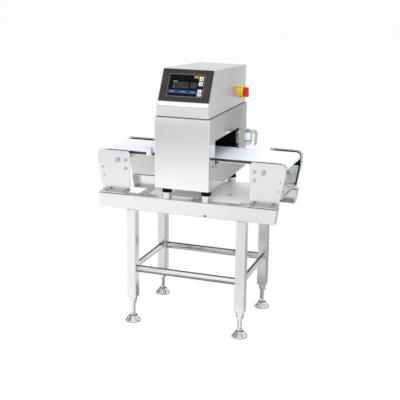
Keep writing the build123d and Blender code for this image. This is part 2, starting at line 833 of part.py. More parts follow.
def bearing_plate(side, driven):
    """Plastic plate that holds the roller shafts, rounded round the nose."""
    y0, y1 = line(side * bearing_inner), line(side * plate_inner)
    if driven:
        cut_x, cut_z = bearing_corner
        lower = [(bearing_edge, bearing_waist), (bearing_low_far, bearing_low),
                 (bearing_side + cut_x, bearing_low), (bearing_side, bearing_low + cut_z)]
    else:
        lower = [(bearing_edge, tail_waist), (tail_low_far, tail_low), (bearing_side, tail_low)]
    plate = prism_y([
        (bearing_side, snub_z + snub_wall), (bearing_side + bearing_slope, bearing_top),
        (nose_x, bearing_top), (nose_x, nose_z), (bearing_edge, nose_z), *lower,
    ], y0, y1)
    plate += rod_y(y0, y1, nose_x, nose_z, bearing_nose)
    holes = [(*nose_at, nose_shaft_radius), (*snub_at, snub_shaft_radius), (*bolt_m12, 6)]
    holes.append((*bolts_m8[0], m8_radius))
    if driven:
        holes += [(*drum_at, drum_shaft_radius), (*bolts_m8[1], m8_radius)]
        holes += [(x, z, 2.5) for x, z in bolts_m5]
    for x, z, radius in holes:
        plate -= rod_y(y0, y1, x, z, radius + shaft_fit)
    return plate


def support_plate(side):
    """Folded sheet: an upright web with an outward foot above the rail."""
    bend = 7
    slot = 1             # the cutting outline reaches this far past the sheet
    web_in, web_out = side * plate_inner, side * plate_outer
    profile = [
        (line(web_in), plate_top), (line(web_out), plate_top), (line(web_out), foot_top),
        (line(side * stand_half), foot_top), (line(side * stand_half), foot_low),
        (line(web_in), foot_low),
    ]
    angle = prism_x(profile, plate_near - slot, plate_far + slot)
    heel = [e for e in angle.edges().filter_by(Axis.X)
            if abs(e.center().Y - line(web_in)) < slot and abs(e.center().Z - foot_low) < slot]
    angle = fillet(heel, bend)
    outline = prism_y([
        (plate_near, foot_low - slot), (plate_near, plate_top - 14), (plate_near + 7, plate_top),
        (plate_far - 15, plate_top), (plate_far, plate_top - 16), (plate_far, waist_high),
        (plate_foot_far, waist_low), (plate_foot_far, foot_low - slot),
    ], line(-stand_half - slot), line(stand_half + slot))
    plate = angle & outline
    for x, z, radius in [(*bolt_m12, 6)] + [(*p, m8_radius) for p in bolts_m8] + \
            [(*p, 2.5) for p in bolts_m5]:
        plate -= rod_y(line(web_in), line(web_out), x, z, radius + shaft_fit)
    for x in flange_bolts:
        plate -= rod_z(foot_low, foot_top, x, line(side * rail_mid), m8_hole)
    return plate


bearing_plates, frame_bolts = [], []
for end in (left, right):
    driven = end == right
    for side in (front, back):
        bearing_plates.append(mirrored(bearing_plate(side, driven), end))
        web = line(side * plate_outer)
        small_grip = plate_outer - (ear_inner if driven else plate_inner)
        holes = [(bolt_m12, 19, 8, 6, plate_outer - bearing_inner)]
        holes.append((bolts_m8[0], 13, 5.5, m8_radius, plate_outer - bearing_inner))
        low_grip = plate_outer - (bearing_inner if driven else plate_inner)
        holes.append((bolts_m8[1], 13, 5.5, m8_radius, low_grip))
        holes += [(at, 8, 3.5, 2.5, small_grip) for at in bolts_m5]
        for (x, z), flats, head, radius, grip in holes:
            screw = Pos(x, web, z) * facing(side) * bolt(flats, head, radius, grip)
            frame_bolts.append(mirrored(screw, end))
save("bearing_plates", *bearing_plates)
save("frame_bolts", *frame_bolts)
for name, (end, side) in corners.items():
    save(f"support_plate_{name}", mirrored(support_plate(side), end))

# Flange, tray and head bolts are all alike
m8_bolts, spacers = [], []
spacer = rod_z(rail_top, foot_low, 0, 0, spacer_radius)
spacer -= rod_z(rail_top, foot_low, 0, 0, m8_hole)
for end in (left, right):
    for side in (front, back):
        for x in flange_bolts:
            across = Pos(end * x, line(side * rail_mid), 0)
            grip = plate_thickness + spacer_height + rail_wall
            m8_bolts.append(across * Pos(0, 0, foot_top) * bolt(13, 5.5, m8_radius, grip))
            spacers.append(across * spacer)
        out = Pos(end * (half_w + stop_bolt_stand), line(side * leg_mid), stop_bolt_z)
        m8_bolts.append(out * Rot(0, 90 * end, 0)
                        * (bolt(13, 5.5, m8_radius, stop_bolt_stand + head_wall)
                           + rod_z(-stop_bolt_stand, 0, 0, 0, 5.5)))
for x in tray_bolts:
    level = rail_top + tray_lift + tray_wall
    m8_bolts.append(Pos(x, tray_bar_y, level) * bolt(13, 5.5, m8_radius, tray_wall + tray_lift))
save("m8_bolts", *m8_bolts)
save("flange_spacers", *spacers)

# Crumb guard under the driven nose: a slope between two ears, with a lip below and a stiffening
# strip along each side. Two knobs clamp it, and it ends in a scraper blade.
guard_low = (415, 646)
guard_step = 1 / diagonal
lip_depth = 11
strip_width, strip_height = 18, 3
ear_far, ear_near, ear_top = 428, 350, 733
ear_run = guard_low[0] - ear_near
blade_overlap, blade_thickness = 10, 5
belt_outside = nose_x - nose_z + diagonal * (nose_radius + belt_thickness)
to_belt = (belt_outside - (guard_low[0] - guard_low[1])) / -2   # run along X up the slope
guard_run = to_belt - 7


def up_slope(run, out):
    """Point so far up the guard's slope (as a run along X) and so far above its face."""
    return (guard_low[0] - run + out * guard_step, guard_low[1] + run + out * guard_step)


def slope_plate(run0, run1, out0, out1, y0, y1):
    """Plate on the guard's slope."""
    outline = [up_slope(run0, out0), up_slope(run1, out0), up_slope(run1, out1),
               up_slope(run0, out1)]
    return prism_y(outline, y0, y1)


guard = slope_plate(0, guard_run, -ear_thickness, 0, line(-ear_outer), line(ear_outer))
lip_top = guard_low[1]
guard += block(guard_low[0] - ear_thickness, guard_low[0] + lip_depth,
               line(-ear_outer), line(ear_outer), lip_top - ear_thickness, lip_top)
for side in (front, back):
    guard += prism_y([
        up_slope(0, -ear_thickness), (ear_far, ear_top), (ear_near, ear_top),
        up_slope(ear_run, -ear_thickness),
    ], line(side * ear_inner), line(side * ear_outer))
    guard += slope_plate(4, guard_run - blade_overlap - 1, 0, strip_height,
                         line(side * (ear_inner - strip_width)), line(side * ear_inner))
knob_radius, knob_height, knob_run = 7, 9, 10
knob_pitch = 106
for side in (front, back):
    x, z = up_slope(knob_run, 0)
    knob = Rot(0, 45, 0) * chamfer(Cylinder(knob_radius, knob_height, align=BASE).edges(), 1)
    guard += Pos(x, line(side * knob_pitch / 2), z) * knob
for x, z in bolts_m5:
    guard -= rod_y(line(-ear_outer), line(ear_outer), x, z, 2.5 + shaft_fit)
save("crumb_guard", guard)
blade = slope_plate(guard_run - blade_overlap, to_belt - fit / diagonal, 0, blade_thickness,
                    line(-roller_half), line(roller_half))
save("scraper_blade", blade)

# Stays between the bearing plates carry the bed; flat rails stiffen its free edges
stay_radius = 5
stay_xs = (340, 385)
bed_rail = 4
rail_in = bed_half_width + seat
rail_out = rail_in + bed_rail
supports = []
for end in (left, right):
    for x in stay_xs:
        supports.append(rod_y(line(-bearing_inner), line(bearing_inner), end * x,
                              bed_low - stay_radius, stay_radius))
    for side in (front, back):
        supports.append(block(end * (half_w + 8), end * (stay_xs[1] + stay_radius),
                              line(side * rail_in), line(side * rail_out), bed_low, bed_top))
save("bed_supports", *supports)

# Photoelectric sensor before the head, and its reflector across the belt
sensor_stand = 71.5   # from the head's side
sensor_x = -half_w - sensor_stand
arm_half, arm_wall = 14, 2
arm_low = bed_low
arm_height = 24       # above the belt
arm_top = belt_top + arm_height
arm_out = 136
eye_half, eye_depth, eye_height = 11, 13, 32
reflector_half, reflector_depth, reflector_height = 10, 6, 18
eye_top = arm_top - 3
arms = []
for side in (front, back):
    y_in, y_out = line(side * rail_out), line(side * arm_out)
    arm = block(sensor_x - arm_half, sensor_x + arm_half, y_in, y_out, arm_low, arm_low + arm_wall)
    arm += block(sensor_x - arm_half, sensor_x + arm_half, line(side * (arm_out - arm_wall)),
                 y_out, arm_low, arm_top)
    arms.append(arm)
eye = block(sensor_x - eye_half, sensor_x + eye_half, line(-arm_out),
            line(-arm_out - eye_depth), eye_top - eye_height, eye_top)
behind = arm_out - arm_wall
reflector = block(sensor_x - reflector_half, sensor_x + reflector_half, line(behind),
                  line(behind - reflector_depth), eye_top - reflector_height, eye_top)
save("sensor_arms", *arms)
save("photo_sensor", eye, reflector)
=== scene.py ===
# %% [markdown]
# # A conveyor metal detector
# The machine has four groups: a stand of folded rails and square legs, a short belt conveyor, a
# box-shaped detector head that the belt runs through, and a wedge-shaped enclosure with a touch
# panel. Nearly all of it is stainless steel, so most of this lesson is about making steel look
# like steel. What it mirrors matters more than its own colour.
#
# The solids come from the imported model, at their real size and place. This script gives them
# their finishes, and adds what is too thin or too small to be a solid of its own.

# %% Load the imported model
import bpy
import bmesh
import json
import math
from mathutils import Matrix, Vector


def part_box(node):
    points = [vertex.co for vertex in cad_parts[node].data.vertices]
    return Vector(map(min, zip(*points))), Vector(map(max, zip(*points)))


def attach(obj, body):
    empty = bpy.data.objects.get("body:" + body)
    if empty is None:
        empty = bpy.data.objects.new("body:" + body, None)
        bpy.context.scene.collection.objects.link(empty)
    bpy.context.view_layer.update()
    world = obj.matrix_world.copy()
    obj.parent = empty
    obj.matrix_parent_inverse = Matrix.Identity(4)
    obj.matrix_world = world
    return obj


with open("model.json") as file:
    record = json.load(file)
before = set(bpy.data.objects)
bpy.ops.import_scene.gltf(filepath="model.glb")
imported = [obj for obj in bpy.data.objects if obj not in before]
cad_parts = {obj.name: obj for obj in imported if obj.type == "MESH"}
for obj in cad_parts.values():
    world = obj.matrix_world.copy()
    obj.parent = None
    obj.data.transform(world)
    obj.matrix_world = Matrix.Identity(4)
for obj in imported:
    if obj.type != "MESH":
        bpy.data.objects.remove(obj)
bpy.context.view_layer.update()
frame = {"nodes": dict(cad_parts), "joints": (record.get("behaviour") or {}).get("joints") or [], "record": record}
nodes = frame["nodes"]
scene = bpy.context.scene

# %% [markdown]
# ## The camera
# The machine is seen from a little above the touch panel, and from the operator's side with some
# of the outfeed side. Blender's camera looks along its own -Z, so a matrix made of the three
# directions right, up and backwards places and turns it in one go. A long lens from four metres
# away keeps the upright lines nearly upright.

# %% Place the camera
eye = Vector((1.2865, -3.7415, 1.635))
turn, dip, tilt = 0.3343, 0.2204, 0.0124    # radians: to the left, down, and round the view

level_right = Vector((math.cos(turn), math.sin(turn), 0))
level_ahead = Vector((-math.sin(turn), math.cos(turn), 0))
ahead = level_ahead * math.cos(dip) - Vector((0, 0, math.sin(dip)))
upright = Vector((0, 0, math.cos(dip))) + level_ahead * math.sin(dip)
right = level_right * math.cos(tilt) + upright * math.sin(tilt)
above = upright * math.cos(tilt) - level_right * math.sin(tilt)

lens = bpy.data.cameras.new("camera")
lens.sensor_width = 36.0
lens.lens = 78.32
lens.shift_y = -0.10
lens.clip_end = 100
camera = bpy.data.objects.new("camera", lens)
scene.collection.objects.link(camera)
axes = Matrix((right, above, -ahead)).transposed().to_4x4()
camera.matrix_world = Matrix.Translation(eye) @ axes
scene.camera = camera
scene.view_settings.view_transform = "Standard"
print("camera at", tuple(round(v, 3) for v in eye), "lens", lens.lens)

# %% [markdown]
# ## Node trees by name
# Every finish below is a node tree. Writing a tree by hand takes three steps for each node: make
# it, set its sockets, link it. One helper does all three. It takes the node's kind and its sockets
# by name, sets what is a number or a colour, and links what comes out of another node. That keeps
# each material to a few readable lines.


# %% Helpers for node trees
def new_material(name):
    """A material with an empty node tree, that tree, and its output node."""
    material = bpy.data.materials.new(name)
    material.use_nodes = True
    tree = material.node_tree
    tree.nodes.clear()
    return material, tree, tree.nodes.new("ShaderNodeOutputMaterial")


def put(tree, socket, value):
    """Links a node's output to a socket, or sets the socket to a number or colour."""
    if isinstance(value, bpy.types.NodeSocket):
        tree.links.new(value, socket)
    else:
        socket.default_value = value


def add(tree, kind, **settings):
    """A new node. A setting that names a socket, with _ for a space, goes into it."""
    node = tree.nodes.new("ShaderNode" + kind)
    for key, value in settings.items():
        socket = node.inputs.get(key.replace("_", " "))
        if socket is None:
            setattr(node, key, value)
        else:
            put(tree, socket, value)
    return node


def math_node(tree, operation, *values):
    """What a Math node makes of numbers or other nodes' outputs."""
    node = add(tree, "Math", operation=operation)
    for socket, value in zip(node.inputs, values):
        put(tree, socket, value)
    return node.outputs[0]


def ramp(tree, value, stops):
    """A colour ramp of grey levels or colours, given as (position, level or colour)."""
    node = add(tree, "ValToRGB", Fac=value)
    elements = node.color_ramp.elements
    while len(elements) < len(stops):
        elements.new(0.5)
    for element, (position, level) in zip(elements, stops):
        element.position = position
        element.color = (*level, 1) if isinstance(level, tuple) else (level, level, level, 1)
    return node.outputs[0]


print("helpers ready")

# %% [markdown]
# ## What most finishes share
# A finish needs to know where it is on the part, a noise to vary by, and a bump for its fine
# relief. The place is in the part's own metres, so a scale of 100 makes grains about a centimetre
# wide. Real edges are never truly sharp, so the Bevel node rounds what they mirror, without a
# change to the solid.


# %% Places, noises and relief
def object_place(tree):
    """The shaded point, in the part's own metres."""
    return add(tree, "TexCoord").outputs["Object"]


def component(tree, vector, axis):
    """A vector's X, Y or Z."""
    return add(tree, "SeparateXYZ", Vector=vector).outputs[axis]


def faces_along_x(tree):
    """1 on faces that look along X, and 0 on those that look along Y or Z."""
    normal = add(tree, "NewGeometry").outputs["Normal"]
    return math_node(tree, "ABSOLUTE", component(tree, normal, "X"))


def noise(tree, place, scale, detail, **settings):
    """The grey value of a noise texture."""
    return add(tree, "TexNoise", Vector=place, Scale=scale, Detail=detail, **settings).outputs[0]


def times(tree, first, second):
    """One colour times another."""
    product = add(tree, "MixRGB", blend_type="MULTIPLY", Fac=1.0, Color1=first, Color2=second)
    return product.outputs[0]


def scaled(tree, value, factor, start=0.0):
    """A value times a factor, from a start."""
    return math_node(tree, "MULTIPLY_ADD", value, factor, start)


def mixed_shaders(tree, share, first, second):
    """The first shader at a share of 0, and the second at 1."""
    mix = add(tree, "MixShader")
    for socket, value in zip(mix.inputs, (share, first.outputs[0], second.outputs[0])):
        put(tree, socket, value)
    return mix


def rounded_edges(tree, radius, samples=4):
    """The surface's normal, with edges rounded to a radius."""
    return add(tree, "Bevel", samples=samples, Radius=radius).outputs[0]


def relief(tree, height, strength, depth, **normal):
    """The surface's normal under a bump so many metres deep."""
    return add(tree, "Bump", Strength=strength, Distance=depth, Height=height, **normal).outputs[0]


white = (1, 1, 1, 1)
print("shared parts ready")

# %% [markdown]
# ## The studio
# A machine like this is shot in a white room. Floor and walls are white to the camera and to
# whatever mirrors them, and the floor still takes the machine's shadow. The light path tells the
# two uses apart: rays from the camera, a mirror or glass see the white room, and the light that
# falls on the surfaces comes at a plain level. Steel with only white around it looks like paper.
# So a mirror image of a mirror image sees a dimmer room, which darkens the corners and gaps, and
# the room is darker behind the camera, which draws the folds of the sheet. A picture of a real
# studio round the scene would do all this at once, but its levels couldn't be set one by one.


# %% Who is looking
def lookers(tree):
    """Who sees the white room, what late mirrors leave of it, and the camera's rays."""
    path = add(tree, "LightPath").outputs
    plain = math_node(tree, "MAXIMUM", path["Is Camera Ray"], path["Is Transmission Ray"])
    shown = math_node(tree, "MAXIMUM", plain, path["Is Glossy Ray"])
    losses = []
    for mirrors, loss in enumerate(mirror_losses, 1):
        late = math_node(tree, "SUBTRACT", path["Glossy Depth"], float(mirrors))
        late.node.use_clamp = True
        losses.append(scaled(tree, late, loss))
    dimming = math_node(tree, "SUBTRACT", 1.0, math_node(tree, "ADD", *losses))
    return shown, dimming, path["Is Camera Ray"]


mirror_losses = (0.22, 0.30)    # what a second and a third mirror take away
print("mirror losses", mirror_losses)

# %% The room
room_light = 0.60
world = bpy.data.worlds.new("studio")
world.use_nodes = True
scene.world = world
sky = world.node_tree
sky.nodes.clear()
shown, dimming, to_camera = lookers(sky)
direction = add(sky, "TexCoord").outputs["Generated"]
height = component(sky, direction, "Z")
behind_machine = ramp(sky, height, [(0.0, 0.80), (0.25, 0.74), (0.55, 0.92), (1.0, 0.86)])
behind_camera = ramp(sky, height,
                     [(0.0, 0.80), (0.30, 0.80), (0.45, 0.30), (0.68, 0.30), (0.86, 1.0)])
side = scaled(sky, component(sky, direction, "Y"), 2.0, 0.5)
side.node.use_clamp = True
walls = add(sky, "MixRGB", Fac=side, Color1=behind_camera, Color2=behind_machine).outputs[0]
seen = add(sky, "MixRGB", Fac=to_camera, Color1=walls, Color2=white).outputs[0]
backdrop = add(sky, "Background", Color=seen, Strength=dimming)
lighting = add(sky, "Background", Color=white, Strength=room_light)
room = mixed_shaders(sky, shown, lighting, backdrop)
add(sky, "OutputWorld", Surface=room.outputs[0])
print("room light", room_light)


# %% The floor
def flat_piece(name, corners, material):
    """A stage piece of one face."""
    mesh = bpy.data.meshes.new(name)
    mesh.from_pydata([Vector(c) for c in corners], [], [tuple(range(len(corners)))])
    mesh.materials.append(material)
    piece = bpy.data.objects.new(name, mesh)
    scene.collection.objects.link(piece)
    return piece


def lying(x0, x1, y0, y1, height):
    """The corners of a level face."""
    return [(x0, y0, height), (x1, y0, height), (x1, y1, height), (x0, y1, height)]


floor_half = 40.0
shadow_share = 0.045    # how much of the lit paper the camera sees in the white floor
floor_paper, tree, out = new_material("floor_paper")
paper = add(tree, "BsdfDiffuse", Color=(0.88, 0.88, 0.88, 1))
shown, dimming, to_camera = lookers(tree)
glow = add(tree, "Emission", Color=white, Strength=dimming)
glowing = math_node(tree, "SUBTRACT", shown, scaled(tree, to_camera, shadow_share))
put(tree, out.inputs[0], mixed_shaders(tree, glowing, paper, glow).outputs[0])
flat_piece("floor", lying(-floor_half, floor_half, -floor_half, floor_half, 0), floor_paper)
print("floor", 2 * floor_half, "m square")


# %% Soft lamps
def softbox(name, place, size, watts):
    """A rectangular lamp that faces the machine. Mirrors don't show it."""
    data = bpy.data.lights.new(name, "AREA")
    data.shape = "RECTANGLE"
    data.size, data.size_y = size
    data.energy = watts
    lamp = bpy.data.objects.new(name, data)
    scene.collection.objects.link(lamp)
    lamp.location = place
    lamp.rotation_euler = (heart - Vector(place)).to_track_quat("-Z", "Y").to_euler()
    lamp.visible_glossy = False
    return lamp


heart = Vector((0, 0, 0.7))
lamps = [
    softbox("key_lamp", (0.9, -3.9, 2.3), size=(2.4, 2.0), watts=62),
    softbox("top_lamp", (0.3, 0.2, 3.6), size=(3.0, 3.0), watts=46),
    softbox("fill_lamp", (3.2, -1.2, 1.8), size=(1.6, 2.2), watts=26),
    softbox("back_lamp", (0.0, 2.8, 1.5), size=(2.6, 0.8), watts=40),
]
print("lamps", [(lamp.name, lamp.data.energy) for lamp in lamps])

# %% [markdown]
# ## Grey cards
# In a studio, grey cards stand around steel, so that each side of a box mirrors its own level.
# One in front of the machine makes the head's front darker towards its top, and one behind the
# outfeed darkens the sides that look that way. Four lie on the floor, in front, beside, behind and
# under the stand. Two nearly black ones at the left and right draw dark lines down round edges and
# round the feet. Only mirrors see the cards, so they take no light away and never show behind the
# machine.


# %% Cards that only mirrors see
def grey_card(name, corners, along, between, levels):
    """A card that fades from one level to another between two places along X, Y or Z."""
    material, tree, out = new_material(name)
    fade = add(tree, "MapRange", Value=component(tree, object_place(tree), along),
               From_Min=between[0], From_Max=between[1], To_Min=levels[0], To_Max=levels[1])
    _, dimming, _ = lookers(tree)
    level = math_node(tree, "MULTIPLY", fade.outputs[0], dimming)
    put(tree, out.inputs[0], add(tree, "Emission", Color=white, Strength=level).outputs[0])
    card = flat_piece(name, corners, material)
    card.visible_camera = False
    card.visible_diffuse = False
    card.visible_shadow = False
    card.visible_transmission = False
    return card


def standing(x0, y0, x1, y1, height):
    """The corners of an upright card from the floor up."""
    return [(x0, y0, 0), (x1, y1, 0), (x1, y1, height), (x0, y0, height)]


def on_floor(x0, x1, y0, y1):
    """The corners of a card just above the floor."""
    return lying(x0, x1, y0, y1, 0.004)


cards = [
    grey_card("card_in_front", standing(-2.4, -2.5, 0.2, -2.9, 0.54), "Z",
              between=(0.04, 0.43), levels=(1.0, 0.60)),
    grey_card("card_before_right", on_floor(-0.60, 1.0, -2.45, -0.55), "X",
              between=(-0.60, -0.20), levels=(1.0, 0.78)),
    grey_card("card_behind_outfeed", standing(0.40, 1.28, 3.2, 1.1, 1.6), "X",
              between=(0.50, 0.72), levels=(0.38, 0.66)),
    grey_card("card_beside_stand", on_floor(0.36, 1.9, -0.3, 1.25), "Y",
              between=(0.2, 1.2), levels=(0.46, 0.42)),
    grey_card("card_behind_stand", on_floor(-0.6, 0.36, 0.3, 1.6), "Y",
              between=(0.2, 1.2), levels=(0.80, 0.62)),
    grey_card("card_under_stand", on_floor(-0.34, 0.34, -0.30, 0.24), "Y",
              between=(-0.3, 0.2), levels=(0.45, 0.20)),
    grey_card("card_at_right", standing(2.3, -1.7, 2.1, -0.5, 1.1), "Z",
              between=(0.0, 1.0), levels=(0.08, 0.12)),
    grey_card("card_at_left", standing(-2.3, 0.2, -2.1, 1.3, 1.1), "Z",
              between=(0.0, 1.0), levels=(0.08, 0.12)),
]
print("cards", len(cards))

# %% [markdown]
# ## Brushed stainless steel
# The sheets are ground with a belt, which leaves fine parallel scratches, and wiped clean, which
# leaves faint clouds. A noise texture that is stretched seventyfold along the grinding direction
# makes the scratches. It changes the tint a little, the roughness more, and the surface by a few
# hundredths of a millimetre. The shader's own anisotropy would stretch the highlights too, but it
# shows no single scratches from close by. Cut and folded edges are rounded, and their colour is
# darkened where the rounding turns the normal: painted shade for the dark lines that edges mirror.


# %% Steel, ground along one axis
def painted_edge_shade(tree, rounded_normal, loss):
    """Painted shade: 1 on open faces, and darker by up to the loss where rounding has turned the normal."""
    flat = add(tree, "NewGeometry").outputs["Normal"]
    same = add(tree, "VectorMath", operation="DOT_PRODUCT")
    put(tree, same.inputs[0], rounded_normal)
    put(tree, same.inputs[1], flat)
    return ramp(tree, same.outputs["Value"], [(0.80, 1 - loss), (0.995, 1.0)])


def ground_steel(name, tint, roughness, along, streaks=0.05, clouds=0.04, soften=0.0012,
                 metallic=1.0, edge_loss=0.55, fineness=170.0, sides=1.0):
    """Steel whose scratches run along 0, 1 or 2 for X, Y or Z, with painted shade on faces that look along X."""
    material, tree, out = new_material(name)
    place = object_place(tree)
    stretched = [fineness] * 3
    stretched[along] = fineness / scratch_length
    along_grain = add(tree, "Mapping", Vector=place, Scale=stretched).outputs[0]
    grain = noise(tree, along_grain, scale=1.0, detail=5.0, Roughness=0.65)
    cloud = noise(tree, place, scale=5.5, detail=3.0, Roughness=0.55, Distortion=0.6)
    edge = rounded_edges(tree, soften, samples=6)

    colour = (*tint, 1)
    for shade in (ramp(tree, grain, [(0.3, 1 - streaks), (0.7, 1.0)]),
                  ramp(tree, cloud, [(0.35, 1 - clouds), (0.65, 1.0)]),
                  # painted shade on rounded edges and folds
                  painted_edge_shade(tree, edge, edge_loss),
                  # painted shade: faces that look along X are darkened to the sides level
                  ramp(tree, faces_along_x(tree), [(0.3, 1.0), (0.8, sides)])):
        colour = times(tree, colour, shade)

    from_grain, from_cloud, even = (share * roughness for share in roughness_shares)
    spread = scaled(tree, grain, from_grain, scaled(tree, cloud, from_cloud, even))
    metal = add(tree, "BsdfPrincipled", Metallic=metallic, Base_Color=colour, Roughness=spread,
                Normal=relief(tree, grain, strength=0.10, depth=scratch_depth / fineness,
                              Normal=edge))
    put(tree, out.inputs[0], metal.outputs[0])
    return material


scratch_length = 70                       # times a scratch's width
scratch_depth = 0.034                     # metres, for a fineness of 1
roughness_shares = (0.30, 0.60, 0.55)     # of the grain, of the clouds, and everywhere
print("steel ready")

# %% Sheets, tubes and bars
cover_sheet = ground_steel("cover_sheet", (0.82, 0.83, 0.81), 0.25, 1, streaks=0.02,
                           soften=0.002, metallic=0.85, fineness=600.0)
# painted shade: the head's faces that look along X are darkened to 0.86
head_sheet = ground_steel("head_sheet", (1.0, 1.0, 0.985), 0.12, 2, streaks=0.03,
                          soften=0.0025, edge_loss=0.75, fineness=600.0, sides=0.86)
rail_sheet = ground_steel("rail_sheet", (0.96, 0.97, 0.96), 0.26, 0, streaks=0.03, soften=0.002)
tube_wall = ground_steel("tube_wall", (0.95, 0.96, 0.95), 0.26, 2, soften=0.002)
# painted shade: a darker copy of the legs' tube steel, for the rear legs
rear_shaded_tube = ground_steel("rear_shaded_tube", (0.76, 0.77, 0.76), 0.28, 2, soften=0.002)
tray_sheet = ground_steel("tray_sheet", (1.0, 1.0, 0.99), 0.42, 0, clouds=0.03, metallic=0.08)
plate_sheet = ground_steel("plate_sheet", (0.95, 0.96, 0.95), 0.25, 2, soften=0.002)
# painted shade: a darker, duller copy of the plate steel, for the rear support plates
rear_shaded_sheet = ground_steel("rear_shaded_sheet", (0.85, 0.86, 0.84), 0.36, 0, metallic=0.5)
# painted shade: the bed's supports are coloured near black for the shade under the belt
shaded_bed_bar = ground_steel("shaded_bed_bar", (0.12, 0.115, 0.095), 0.36, 0, metallic=0.8)
polished_bar = ground_steel("polished_bar", (0.92, 0.92, 0.90), 0.13, 0, streaks=0.22)
print("ten steel sheets and bars")

# %% [markdown]
# ## Square tube with painted bands
# The four stretchers are square tubes that stand on edge. Their grinding runs along each tube.
# Each tube shows a few long light and dark bands, darker at the corners than on the faces, and
# these are painted reflection: a ramp over the height across the tube lays them into the colour,
# and stretched noise breaks them up. Real reflections would change along each tube with
# everything around it. Two of the tubes run along X and two along Y. The faces of the second pair
# are the only ones that look sideways, so the normal tells which way the noise has to be stretched.


# %% Steel with painted bands along each tube
def painted_band_tube(name, tint, low, high):
    """Polished tube between two heights, with painted reflection bands and streaks along whichever way it runs."""
    material, tree, out = new_material(name)
    place = object_place(tree)
    fine, coarse = 150.0, 3.0
    streaks = []
    for stretch in ((coarse, fine, fine), (fine, coarse, fine)):
        along_tube = add(tree, "Mapping", Vector=place, Scale=stretch).outputs[0]
        streaks.append(noise(tree, along_tube, scale=1.0, detail=5.0, Roughness=0.7))
    runs_along_y = math_node(tree, "GREATER_THAN", faces_along_x(tree), 0.3)
    grain = add(tree, "MixRGB", Fac=runs_along_y, Color1=streaks[0], Color2=streaks[1]).outputs[0]

    across = add(tree, "MapRange", Value=component(tree, place, "Z"), From_Min=low,
                 From_Max=high).outputs[0]
    unevenness = 0.16    # how far the bands wander, as a share of the tube's height
    wander = scaled(tree, grain, unevenness,
                    math_node(tree, "SUBTRACT", across, unevenness / 2))
    # painted reflection: light and dark bands over the height across the tube
    bands = ramp(tree, wander, [(0.0, 0.35), (0.10, 0.70), (0.40, 0.92), (0.47, 0.45),
                                (0.55, 0.98), (0.82, 1.0), (0.88, 0.20), (1.0, 0.12)])
    broken = ramp(tree, grain, [(0.36, 0.45), (0.52, 1.0)])
    colour = times(tree, times(tree, bands, broken), (*tint, 1))
    metal = add(tree, "BsdfPrincipled", Metallic=1.0, Base_Color=colour,
                Roughness=scaled(tree, grain, factor=0.20, start=0.06),
                Normal=relief(tree, grain, strength=0.15, depth=0.0003))
    put(tree, out.inputs[0], metal.outputs[0])
    return material


tube_low, tube_high = (corner[2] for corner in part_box("stretchers"))
stretcher_tube = painted_band_tube("stretcher_tube", (0.95, 0.95, 0.93), tube_low, tube_high)
print("stretchers between", round(tube_low, 4), "and", round(tube_high, 4))

# %% [markdown]
# ## Turned and cast steel
# Bolts, nuts and the levelling feet come off a lathe or out of a mould. A lathe leaves rings round
# each piece's own axis, and one material can't know all those axes, so a plain fine noise takes
# their place. The feet get a slightly blue tint from their thin plating.


# %% Steel without a grain
def turned_steel(name, tint, roughness, soften=0.0006, patchy=0.20):
    """Bright machined steel with fine pits and a patchy sheen."""
    material, tree, out = new_material(name)
    place = object_place(tree)
    pits = noise(tree, place, scale=420.0, detail=3.0)
    patches = noise(tree, place, scale=32.0, detail=2.0)
    dark = tuple((1 - patchy) * v for v in tint)
    sheen = 0.14    # how much the pits change the roughness
    metal = add(tree, "BsdfPrincipled", Metallic=1.0,
                Base_Color=ramp(tree, patches, [(0.35, dark), (0.65, tint)]),
                Roughness=scaled(tree, pits, sheen, roughness - sheen / 2),
                Normal=relief(tree, pits, strength=0.12, depth=0.0002,
                              Normal=rounded_edges(tree, soften)))
    put(tree, out.inputs[0], metal.outputs[0])
    return material


foot_metal = turned_steel("foot_metal", (0.96, 0.99, 1.0), 0.10, soften=0.0015, patchy=0.06)
bolt_metal = turned_steel("bolt_metal", (0.72, 0.73, 0.72), 0.24)
spacer_metal = turned_steel("spacer_metal", (0.90, 0.91, 0.90), 0.28, soften=0.001, patchy=0.06)
motor_metal = turned_steel("motor_metal", (0.55, 0.57, 0.58), 0.40)
copper_wire = turned_steel("copper_wire", (0.80, 0.42, 0.20), 0.35)
print("five machined metals")

# %% [markdown]
# ## Moulded plastic and rubber
# The belt, the rollers, the black plates, the bezel and the switch are plastic, and the pads and
# rims are rubber. Plastic differs from paint by its fine moulded texture and by how its colour
# drifts a little from place to place. Each could have a tree of its own, but they differ only in
# numbers, so one function makes them all from a colour, a roughness and the texture's size.


# %% Plastic and rubber
def moulded(name, colour, roughness, texture=300.0, bump=0.15, drift=0.12, soften=0.0006,
            gloss=0.4):
    """Plastic or rubber with a fine bump and a slow drift of its colour."""
    material, tree, out = new_material(name)
    place = object_place(tree)
    fine = noise(tree, place, scale=texture, detail=4.0)
    slow = noise(tree, place, scale=14.0, detail=3.0)
    darker = tuple((1 - drift) * v for v in colour)
    sheen = 0.16    # how much the texture changes the roughness
    body = add(tree, "BsdfPrincipled", Specular_IOR_Level=gloss,
               Base_Color=ramp(tree, slow, [(0.35, darker), (0.65, colour)]),
               Roughness=scaled(tree, fine, sheen, roughness - sheen / 2),
               Normal=relief(tree, fine, strength=bump, depth=0.0003,
                             Normal=rounded_edges(tree, soften)))
    put(tree, out.inputs[0], body.outputs[0])
    return material


print("plastic ready")

# %% The plastics and rubbers
belt_cover = moulded("belt_cover", (0.80, 0.86, 0.92), 0.45, texture=500, bump=0.10, drift=0.03)
